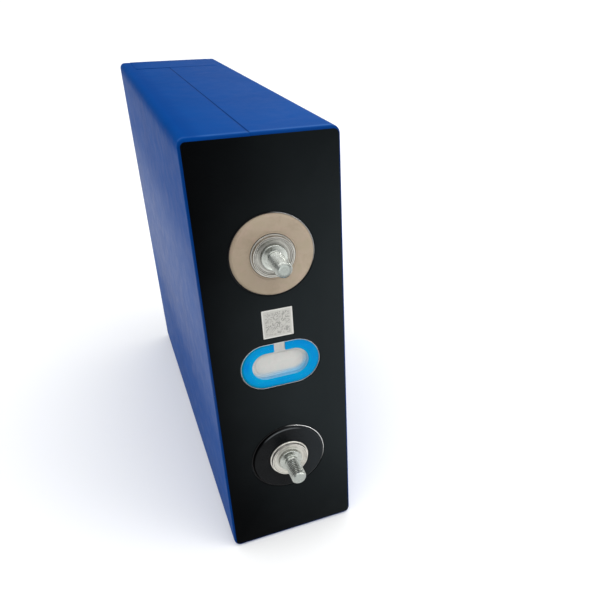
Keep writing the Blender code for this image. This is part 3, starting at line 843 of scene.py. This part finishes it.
    # the third value of each roll row is painted shade, deepest on the inner face; the painted edge highlight fades
    # along the roll
    roll = []
    for k in range(1, 9):
        a = math.radians(88 * k / 8)
        roll.append((RIM - RIM * math.cos(a), -RIM_S + RIM_S * math.sin(a), 0.75 * min(1.0, k / 5)))
    roll.append((RIM + 0.03, -0.06, 0.9))
    roll.append((RIM + 0.03, -0.14, 0.9))
    for k in range(8, 0, -1):
        a = math.radians(88 * k / 8)
        roll.append((RIM - (RIM - FILM_T) * math.cos(a), -RIM_S + (RIM_S - FILM_T) * math.sin(a), 0.9))
    rows = [[vid(ix, 0, iz, 0.0) for ix, iz in loop]]
    for o, s, dk in roll:
        row = []
        for ix, iz in loop:
            base, n = index[(ix, 0, iz, 0.0)]
            p = Vector(verts[base])
            m = Vector((n.x, 0, n.z)).normalized()
            row.append(len(verts))
            verts.append(Vector((p.x - m.x * o * MM, (Y0 - s) * MM, p.z - m.z * o * MM)))
            dark.append(dk)
            edge_highlight.append(max(0.0, 0.6 - dk * 1.4) * (0.8 if n.z > 0.7 else 0.15))
        rows.append(row)
    rows.append([vid(ix, 0, iz, FILM_T) for ix, iz in loop])
    m = len(loop)
    for a, b in zip(rows, rows[1:]):
        for k in range(m):
            l = (k + 1) % m
            faces.append([a[k], a[l], b[l], b[k]])
    ob = make("wrap_film_skin", verts, faces, [M_FILM], angle=75)
    for name, values in (("seam_and_rim_shade", dark), ("edge_highlight", edge_highlight)):
        ob.data.attributes.new(name, "FLOAT", "POINT").data.foreach_set("value", values)
    return seat(ob, "blue_film", "wrap_film")


wrap_film()


# ------------------------------------------------------------------ black sheet and label
def face_sheet():
    lo, hi = SHEET_LO / MM, SHEET_HI / MM
    r0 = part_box("lid_plate")
    holes = [circle(POS.x, POS.z, 15.7, 128), circle(NEG.x, NEG.z, 15.7, 128),
             oval(VENT.x, VENT.z, 31.7, 19.8, 40),
             rounded(LABEL.x - 5.95, LABEL.x + 5.95, LABEL.z - 5.95, LABEL.z + 5.95, 0.25, 4)]
    ob = sheet("lid_sheet", rounded(lo.x, hi.x, lo.z, hi.z, 1.8, 12), holes, -0.3, 0.0,
               [M_SHEET], edge=0.09)
    return seat(ob, "black_sheet", "top_sheet")


face_sheet()
seat(sheet("code_label_plate",
           rounded(LABEL.x - 5.8, LABEL.x + 5.8, LABEL.z - 5.8, LABEL.z + 5.8, 0.3, 5), [],
           -0.3, -0.1, [M_LABEL], edge=0.05), "label_foil", "code_label")


# ------------------------------------------------------------------ lid with its beads
def lid():
    lo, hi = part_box("lid_plate")
    lo, hi = lo / MM, hi / MM
    top, bottom = -0.6, -2.6
    holes = [circle(POS.x, POS.z, 6.6, 64), circle(NEG.x, NEG.z, 6.6, 64),
             oval(VENT.x, VENT.z, 22.4, 11.6, 32), circle(FILL.x, FILL.z, 3.9, 48)]
    ob = sheet("lid_plate_fine", rounded(lo.x, hi.x, lo.z, hi.z, 1.5, 6), holes, bottom, top,
               [M_LID, M_WELL], edge=0.15, steps=4)
    # walls of the vent opening take the material with painted blue light
    for f in ob.data.polygons:
        c = f.center / MM
        if abs(c.x - VENT.x) < 11.6 and abs(c.z - VENT.z) < 6.2 and abs(f.normal.y) < 0.95:
            f.material_index = 1
    seat(ob, "aluminium", "lid_plate")
    for side, c in (("positive", POS), ("negative", NEG)):
        prof = filleted([(15.14, -0.58, 0), (15.14, 0.05, 0.02), (15.44, 0.05, 0.27), (15.44, -0.58, 0)], 7)
        prof = prof + [(15.44, -0.75), (15.14, -0.75)]
        # near-black beads stand for the shaded gap; the painted glint is weaker on the positive side
        m = bead_paint(side + "_lid_bead", c, 0.55 if side == "positive" else 1.0)
        seat(lathe(side + "_lid_bead", prof, c, [m], 144, ring=True, angle=60), "aluminium")
    # counterbore floor of the filling port
    prof = [(3.9, -1.25), (1.6, -1.25), (1.6, -2.6), (3.95, -2.6)]
    seat(lathe("fill_port_seat", prof, FILL, [M_LID], 48, ring=True), "aluminium")


lid()


# ------------------------------------------------------------------ vent
def vent():
    cx, cz = VENT.x, VENT.z
    # membrane: a pressed oval with a scored groove and a shallow dome
    loops = [oval(cx, cz, 24.8, 14.0, 32)]
    shape = [(24.8, -2.5), (24.8, -1.98), (24.64, -1.9), (21.4, -1.9), (20.8, -2.2), (19.6, -2.2),
             (19.35, -2.33), (19.1, -2.33), (18.85, -2.2), (15.0, -2.16), (8.5, -2.12), (3.2, -2.1)]
    verts, faces, rows = [], [], []
    diff = 24.8 - 14.0
    for L, s in shape:
        w = L - diff
        if w <= 0.2:
            # inner ovals shrink to a slim one
            w = 0.2 + 0.01 * L
        pts = oval(cx, cz, max(L, w + 0.1), w, 32) if L > diff else oval(cx, cz, L + 7.0, 0.6, 32)
        rows.append(list(range(len(verts), len(verts) + len(pts))))
        verts += [at(x, z, s) for x, z in pts]
    n = len(rows[0])
    for a, b in zip(rows, rows[1:]):
        for k in range(n):
            l = (k + 1) % n
            faces.append((a[k], a[l], b[l], b[k]))
    faces.append(tuple(rows[-1]))
    faces.append(tuple(reversed(rows[0])))
    ob = make("vent_membrane", verts, faces, [M_DISC], angle=30)
    seat(ob, "aluminium", "vent_disc")

    # blue ring, open at a notch towards the label
    L, W, l, w, notch, n = 30.5, 18.6, 22.2, 11.4, 4.2, 32
    outer, inner = oval(cx, cz, L, W, n), oval(cx, cz, l, w, n)
    ro, lo_ = outer[:n + 1], outer[n + 1:]
    ri, li = inner[:n + 1][::-1], inner[n + 1:][::-1]
    zt, zi = cz + W / 2, cz + w / 2
    fil = 0.45
    outline = ([(cx - notch / 2 - fil, zt)] + lo_ + ro + [(cx + notch / 2 + fil, zt),
               (cx + notch / 2 + 0.13, zt - 0.13), (cx + notch / 2, zt - fil)]
               + [(cx + notch / 2, zi + fil), (cx + notch / 2 + 0.13, zi + 0.13),
                  (cx + notch / 2 + fil, zi)]
               + ri + li + [(cx - notch / 2 - fil, zi), (cx - notch / 2 - 0.13, zi + 0.13),
                            (cx - notch / 2, zi + fil), (cx - notch / 2, zt - fil),
                            (cx - notch / 2 - 0.13, zt - 0.13)])
    ob = sheet("vent_blue_ring", outline, [], -0.5, -0.38, [M_RING], edge=0.04, steps=2)
    seat(ob, "blue_adhesive", "vent_adhesive_ring")

    # clear film with a raised, rounded rim
    rows, verts, faces = [], [], []
    prof = [(0.0, -0.28), (0.0, -0.20), (0.03, -0.15), (0.10, -0.125), (0.20, -0.125), (0.30, -0.15),
            (0.45, -0.16), (2.5, -0.155), (5.0, -0.15), (8.0, -0.145)]
    for d, s in prof:
        pts = oval(cx, cz, 31.0 - 2 * d, 19.1 - 2 * d, 40)
        rows.append(list(range(len(verts), len(verts) + len(pts))))
        verts += [at(x, z, s) for x, z in pts]
    for d, s in reversed(prof[1:]):
        pts = oval(cx, cz, 31.0 - 2 * d, 19.1 - 2 * d, 40)
        rows.append(list(range(len(verts), len(verts) + len(pts))))
        verts += [at(x, z, -0.28) for x, z in pts]
    m = len(rows[0])
    half = len(prof)
    for i, (a, b) in enumerate(zip(rows, rows[1:])):
        if i == half - 1:
            continue
        for k in range(m):
            j = (k + 1) % m
            faces.append((a[k], a[j], b[j], b[k]))
    a, b = rows[-1], rows[0]
    for k in range(m):
        j = (k + 1) % m
        faces.append((a[k], a[j], b[j], b[k]))
    faces.append(tuple(rows[half - 1]))
    faces.append(tuple(reversed(rows[half])))
    ob = make("vent_clear_film", verts, faces, [M_CLEAR], angle=50, weld=1e-7)
    seat(ob, "clear_film", "vent_film")


vent()


# ------------------------------------------------------------------ terminals
def washer(side, centre, mat, slot):
    prof = filleted([(5.0, -0.3, 0), (15.06, -0.3, 0.1), (15.06, 0.32, 0.8), (14.3, 1.0, 0.8),
                     (8.9, 1.0, 0.15), (8.8, 0.92, 0.1), (8.55, 0.92, 0.1), (8.45, 0.98, 0.1),
                     (8.24, 0.98, 0.08), (8.24, 0.05, 0), (4.8, 0.05, 0), (4.8, -1.1, 0), (6.3, -1.1, 0),
                     (6.3, -0.3, 0)], 6)
    prof = prof[1:]
    return seat(lathe(side + "_washer_ring", prof, centre, [mat], 144, ring=True, angle=28), slot,
                side + "_washer")


def pad(side, centre):
    prof = filleted([(4.55, 0.35, 0), (8.05, 0.35, 0.08), (8.05, 1.16, 0.08), (7.72, 1.20, 0.1), (7.46, 2.44, 0.3),
                     (7.44, 2.46, 0.0),
                     (7.18, 2.47, 0.04), (7.10, 2.33, 0.04), (6.94, 2.33, 0.04), (6.86, 2.47, 0.04), (6.62, 2.47, 0.1),
                     (6.42, 2.14, 0.06), (6.12, 2.10, 0.05), (5.98, 1.84, 0.06), (5.35, 1.78, 0.1),
                     (4.95, 1.92, 0.1), (4.55, 1.94, 0)], 5)
    t, w = (0.95, 0.78) if side == "positive" else (1.5, 1.1)
    m = pad_paint(side + "_turned_aluminium", centre, t, w)
    return seat(lathe(side + "_pad_turned", prof, centre, [m], 128, ring=True, angle=40),
                "aluminium", side + "_terminal_pad")


PITCH, MAJOR, MINOR = 1.0, 3.0, 2.42


def thread_radius(phase):
    """ISO profile: flat crest, flat root, straight flanks. phase runs 0 to 1 along one pitch."""
    p = phase % 1.0
    crest, root = 0.14, 0.22
    flank = (1 - crest - root) / 2
    if p < crest:
        return MAJOR
    if p < crest + flank:
        return MAJOR + (MINOR - MAJOR) * (p - crest) / flank
    if p < crest + flank + root:
        return MINOR
    return MINOR + (MAJOR - MINOR) * (p - crest - flank - root) / flank


def stud(side, centre, turn):
    segs, per = 72, 12
    top = s_span(side + "_stud")[1]
    verts, faces, rings = [], [], []

    def ring(fn):
        rings.append(list(range(len(verts), len(verts) + segs)))
        for k in range(segs):
            a = 2 * math.pi * k / segs
            r, s = fn(a)
            verts.append(at(centre.x + r * math.cos(a), centre.z + r * math.sin(a), s))

    def centre_point(s):
        rings.append([len(verts)])
        verts.append(at(centre.x, centre.z, s))

    # foot: the welded flange with its fillet
    centre_point(2.0)
    foot = filleted([(0.5, 2.0, 0), (4.75, 2.0, 0.1), (4.75, 3.3, 0.34), (3.9, 3.34, 0.3),
                     (2.62, 3.5, 0.42), (2.62, 4.3, 0)], 5)
    for r, s in foot:
        ring(lambda a, r=r, s=s: (r, s))
    s0, s1 = 4.3, top
    n = int((s1 - s0) / PITCH * per)
    for i in range(1, n + 1):
        s = s0 + (s1 - s0) * i / n

        def fn(a, s=s):
            r = thread_radius((s - a / (2 * math.pi) * PITCH) / PITCH + turn)
            run_in = max(0.0, min(1.0, (s - s0) / 1.0))
            r = 2.62 + (r - 2.62) * run_in
            r = min(r, 2.2 + (top - s) * 1.0)
            return r, s
        ring(fn)
    for r, s in ((2.05, top), (1.95, top - 0.04), (1.5, top - 0.05), (0.9, top - 0.04), (0.4, top - 0.05)):
        ring(lambda a, r=r, s=s: (r, s))
    centre_point(top - 0.05)
    for p, q in zip(rings, rings[1:]):
        for k in range(segs):
            j = (k + 1) % segs
            if len(p) == 1:
                faces.append((p[0], q[j], q[k]))
            elif len(q) == 1:
                faces.append((p[k], p[j], q[0]))
            else:
                faces.append((p[k], p[j], q[j], q[k]))
    positive = side == "positive"
    m = stud_paint(side + "_plated_steel", centre, top, 0.5 if positive else 0.9, 0.92 if positive else 1.3)
    return seat(make(side + "_threaded_stud", verts, faces, [m], angle=38), "plated_steel",
                side + "_stud")


washer("positive", POS, M_BEIGE, "beige_plastic")
washer("negative", NEG, M_BLACK, "black_plastic")
for side, c, turn in (("positive", POS, 0.15), ("negative", NEG, 0.55)):
    pad(side, c)
    stud(side, c, turn)


# ------------------------------------------------------------------ inner pieces: CAD shapes, real finishes
def plastic(name, lo, hi, rough=(0.45, 0.6), spec=0.4, grain=1.5):
    p = Paint(name, Specular_IOR_Level=spec)
    c = p.noise(0.08, 3, 0.6)
    f = p.noise(grain, 3, 0.6)
    col = p.ramp(c, [(0.3, lo), (0.7, hi)])
    p.to("Base Color", p.mix(p.span(f, 0.5, 0.8, 0.0, 0.3), col, tuple(min(1, v * 1.5 + 0.01) for v in hi)))
    p.to("Roughness", p.span(f, 0.3, 0.7, *rough))
    p.to("Normal", p.bump(f, 0.25, 0.02))
    return p.mat


def metal(name, lo, hi, rough=(0.25, 0.4), stretch=(1, 1, 8)):
    p = Paint(name, metal=1.0)
    c = p.noise(0.1, 3, 0.6)
    f = p.noise(0.8, 3, 0.6, stretch=stretch)
    col = p.ramp(c, [(0.3, lo), (0.7, hi)])
    p.to("Base Color", p.mix(p.span(f, 0.45, 0.75, 0.0, 0.35), col, tuple(v * 0.82 for v in lo)))
    p.to("Roughness", p.span(f, 0.3, 0.7, *rough))
    p.to("Normal", p.bump(f, 0.25, 0.015))
    return p.mat


def core_paint(name, centre):
    """Wound electrodes: ceramic-coated separator outside, and the turns of foil at both ends."""
    p = Paint(name, Specular_IOR_Level=0.3)
    lo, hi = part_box(name)
    t, w = (hi.x - lo.x) / MM, (hi.z - lo.z) / MM
    x, y, z = p.xyz(tuple(centre))
    az = p.maths("MAXIMUM", p.maths("SUBTRACT", p.maths("ABSOLUTE", z), (w - t) / 2), 0.0)
    d = p.maths("SQRT", p.maths("ADD", p.maths("MULTIPLY", x, x), p.maths("MULTIPLY", az, az)))
    turns = p.maths("SINE", p.maths("MULTIPLY", p.maths("ADD", d, p.maths("MULTIPLY", p.noise(0.2), 0.12)),
                                    2 * math.pi / 0.55))
    layer = p.ramp(p.span(turns, -1, 1), [(0.0, (0.018, 0.018, 0.020)), (0.38, (0.05, 0.05, 0.052)),
                                          (0.62, (0.30, 0.165, 0.095)), (0.85, (0.62, 0.62, 0.60))])
    c = p.noise(0.06, 3, 0.6)
    f = p.noise(1.6, 3, 0.6)
    skin_ = p.mix(p.span(f, 0.5, 0.8, 0.0, 0.25), p.ramp(c, [(0.3, (0.66, 0.66, 0.64)), (0.7, (0.76, 0.76, 0.74))]),
                  (0.55, 0.55, 0.53))
    end = p.maths("GREATER_THAN", p.maths("ABSOLUTE", y), (hi.y - lo.y) / MM / 2 - 0.05)
    p.to("Base Color", p.mix(end, skin_, layer))
    p.to("Roughness", p.span(f, 0.3, 0.7, 0.55, 0.7))
    p.to("Normal", p.bump(p.maths("MULTIPLY", turns, end), 0.4, 0.08, p.bump(f, 0.2, 0.02)))
    return p.mat


def clear(name, tint, alpha):
    p = Paint(name, rough=0.2, Specular_IOR_Level=0.5)
    c = p.noise(0.05, 3, 0.6)
    f = p.noise(0.9, 3, 0.6)
    p.to("Base Color", p.ramp(c, [(0.3, tint), (0.7, tuple(min(1, v * 1.12) for v in tint))]))
    p.to("Alpha", p.span(f, 0.3, 0.8, alpha, alpha + 0.15))
    p.to("Roughness", p.span(f, 0.3, 0.7, 0.14, 0.28))
    p.to("Normal", p.bump(c, 0.3, 0.3, p.bump(f, 0.1, 0.02)))
    p.mat.surface_render_method = "BLENDED"
    return p.mat


CAN = metal("drawn_aluminium", (0.70, 0.71, 0.72), (0.80, 0.81, 0.81), (0.34, 0.48), (1, 0.15, 1))
ALU = metal("stamped_aluminium", (0.74, 0.74, 0.73), (0.83, 0.83, 0.82), (0.28, 0.42))
COPPER = metal("stamped_copper", (0.72, 0.34, 0.21), (0.86, 0.45, 0.30), (0.24, 0.38))
RUBBER = plastic("fluororubber", (0.012, 0.012, 0.012), (0.024, 0.024, 0.025), (0.6, 0.75), 0.3, 3.0)
PP = plastic("black_polypropylene", (0.014, 0.014, 0.016), (0.026, 0.026, 0.028), (0.42, 0.58))
TAPE = plastic("green_tape", (0.025, 0.22, 0.10), (0.05, 0.30, 0.15), (0.3, 0.42), 0.5, 0.8)
BAG = clear("clear_polyester", (0.74, 0.79, 0.83), 0.28)

INNER = {
    "can": CAN, "fill_cap": ALU, "fill_plug": RUBBER, "vent_guard": PP, "base_spacer": PP,
    "core_bag": BAG, "stop_tape_left": TAPE, "stop_tape_right": TAPE,
    "wound_core_left": core_paint("wound_core_left", centre_of("wound_core_left")),
    "wound_core_right": core_paint("wound_core_right", centre_of("wound_core_right")),
}
for side, m in (("positive", ALU), ("negative", COPPER)):
    INNER[side + "_seal_ring"] = RUBBER
    INNER[side + "_inner_insulator"] = PP
    for part in ("pole", "collector", "tab_foil_left", "tab_foil_right"):
        INNER[side + "_" + part] = m
for node, m in INNER.items():
    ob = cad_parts[node]
    if ob.material_slots:
        for s in ob.material_slots:
            s.material = m
    else:
        ob.data.materials.append(m)


# ------------------------------------------------------------------ floor, light, camera
def floor():
    me = bpy.data.meshes.new("floor")
    r, n = 7.0, 96
    verts = [(0, 0, -0.0002)] + [(r * math.cos(2 * math.pi * k / n), r * math.sin(2 * math.pi * k / n),
                                  -0.0002) for k in range(n)]
    me.from_pydata(verts, [], [(0, k + 1, (k + 1) % n + 1) for k in range(n)])
    p = Paint("pale_floor", rough=0.85, Specular_IOR_Level=0.1)
    p.to("Base Color", p.ramp(p.noise(0.004, 2, 0.5), [(0.3, (0.90, 0.90, 0.90)), (0.7, (0.92, 0.92, 0.92))]))
    me.materials.append(p.mat)
    ob = bpy.data.objects.new("floor", me)
    bpy.context.scene.collection.objects.link(ob)


floor()

world = bpy.data.worlds.new("studio")
world.use_nodes = True
world.node_tree.nodes["Background"].inputs[0].default_value = (0.95, 0.975, 1.0, 1)
world.node_tree.nodes["Background"].inputs[1].default_value = 0.42
bpy.context.scene.world = world


def softbox(name, where, aim, size, power, colour=(1, 1, 1), spread=180):
    li = bpy.data.lights.new(name, "AREA")
    li.shape = "RECTANGLE"
    li.size, li.size_y = size
    li.energy = power
    li.color = colour
    li.spread = math.radians(spread)
    ob = bpy.data.objects.new(name, li)
    ob.location = where
    ob.rotation_mode = "QUATERNION"
    ob.rotation_quaternion = (Vector(aim) - Vector(where)).to_track_quat("-Z", "Y")
    ob.visible_camera = False
    bpy.context.scene.collection.objects.link(ob)
    return ob


def strip(name, a, b, aim, width, power, colour):
    """A long, narrow softbox between two points, facing the object."""
    a, b, aim = Vector(a), Vector(b), Vector(aim)
    ob = softbox(name, (a + b) / 2, aim, ((b - a).length, width), power, colour)
    z = ((a + b) / 2 - aim).normalized()
    x = (b - a).normalized()
    y = z.cross(x).normalized()
    x = y.cross(z)
    ob.rotation_quaternion = Matrix((x, y, z)).transposed().to_quaternion()
    return ob


def sky_panel(name, toward, strength, angle):
    """A very large, far panel overhead: it lights the whole floor evenly and softly."""
    li = bpy.data.lights.new(name, "SUN")
    li.energy = strength
    li.angle = math.radians(angle)
    ob = bpy.data.objects.new(name, li)
    ob.rotation_mode = "QUATERNION"
    ob.rotation_quaternion = (-Vector(toward)).to_track_quat("-Z", "Y")
    ob.location = Vector(toward).normalized() * 3
    bpy.context.scene.collection.objects.link(ob)
    return ob


sky_panel("overhead", (0.02, -0.20, 1.0), 2.7, 100)
strip("strip_right", (0.38, -0.65, 0.95), (1.05, -0.42, 0.12), (0, -0.10, 0.10), 0.03, 2.2, (1.0, 0.99, 0.97))
softbox("top_left", (-0.26, -0.62, 0.98), (0, -0.10, 0.10), (0.22, 0.05), 0.35, (1.0, 1.0, 1.0))
softbox("back_right", (0.75, 1.25, 0.80), (0, 0, 0.15), (1.1, 0.8), 0.7, (0.98, 1.0, 1.0))
softbox("low_front", (0.075, -0.235, 0.035), (0.01, -0.095, 0.075), (0.12, 0.05), 0.03, (0.95, 1.0, 1.0))

cam = bpy.data.cameras.new("camera")
cam.sensor_width = 36.0
cam.lens = 38.461
cam.shift_x, cam.shift_y = -0.1167, 0.05
cam.clip_start, cam.clip_end = 0.01, 60.0
cam_ob = bpy.data.objects.new("camera", cam)
bpy.context.scene.collection.objects.link(cam_ob)
AZ, EL, ROLL = math.radians(23.377), math.radians(-29.261), math.radians(-0.095)
fwd = Vector((math.sin(AZ) * math.cos(EL), math.cos(AZ) * math.cos(EL), math.sin(EL)))
right = Vector((math.cos(AZ), -math.sin(AZ), 0))
up = right.cross(fwd)
right, up = (right * math.cos(ROLL) + up * math.sin(ROLL), up * math.cos(ROLL) - right * math.sin(ROLL))
cam_ob.matrix_world = Matrix((
    (right.x, up.x, -fwd.x, -0.05111),
    (right.y, up.y, -fwd.y, (Y0 - 203.833) * MM),
    (right.z, up.z, -fwd.z, 0.218139),
    (0, 0, 0, 1)))
bpy.context.scene.camera = cam_ob
bpy.context.scene.view_settings.view_transform = "Standard"
bpy.context.scene.view_settings.look = "None"

bpy.context.view_layer.update()
